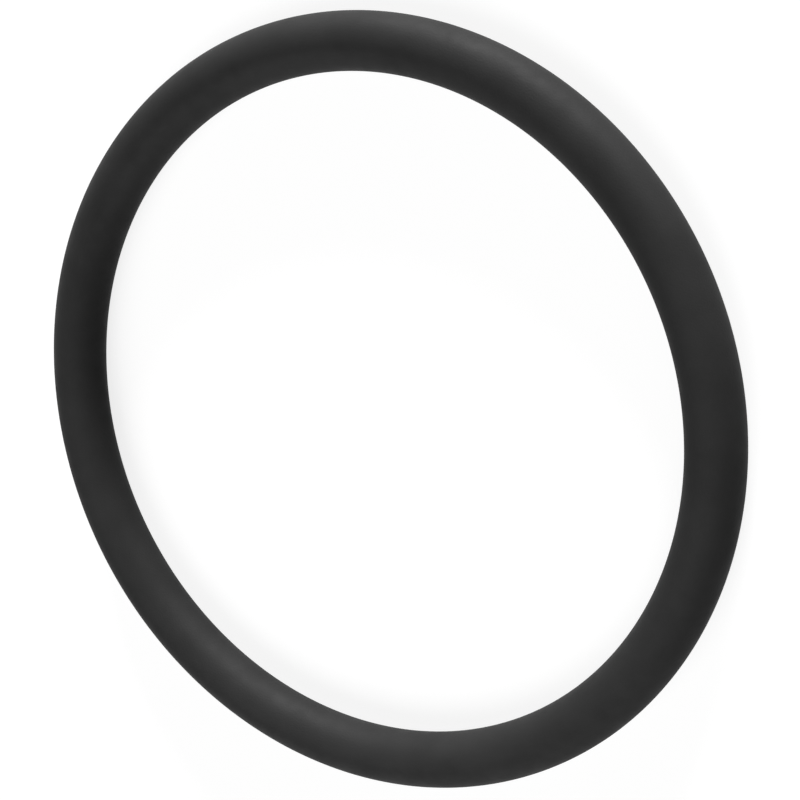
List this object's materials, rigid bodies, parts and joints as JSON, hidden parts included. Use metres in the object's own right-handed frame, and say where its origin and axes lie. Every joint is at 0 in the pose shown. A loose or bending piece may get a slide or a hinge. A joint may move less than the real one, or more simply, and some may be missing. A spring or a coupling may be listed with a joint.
{
  "type": "rubber o-ring",
  "caption": "Black rubber o-ring: a plain ring of round section, moulded in one piece, that is squeezed in a groove to seal a shaft, a bore or a flat joint.",
  "frame": {"origin": "centre of the ring: on its axis, half way through its thickness", "axes": "+Z is the ring's axis; X and Y are any two square directions across it. The ring lies flat, and the plane it rests on is z = -1.325 mm"},
  "size_m": [0.0368, 0.0368, 0.0026],
  "materials": {
    "black_rubber": "satin moulded nitrile rubber"
  },
  "bodies": {
    "root": {"o_ring": "black_rubber"}
  },
  "joints": []
}
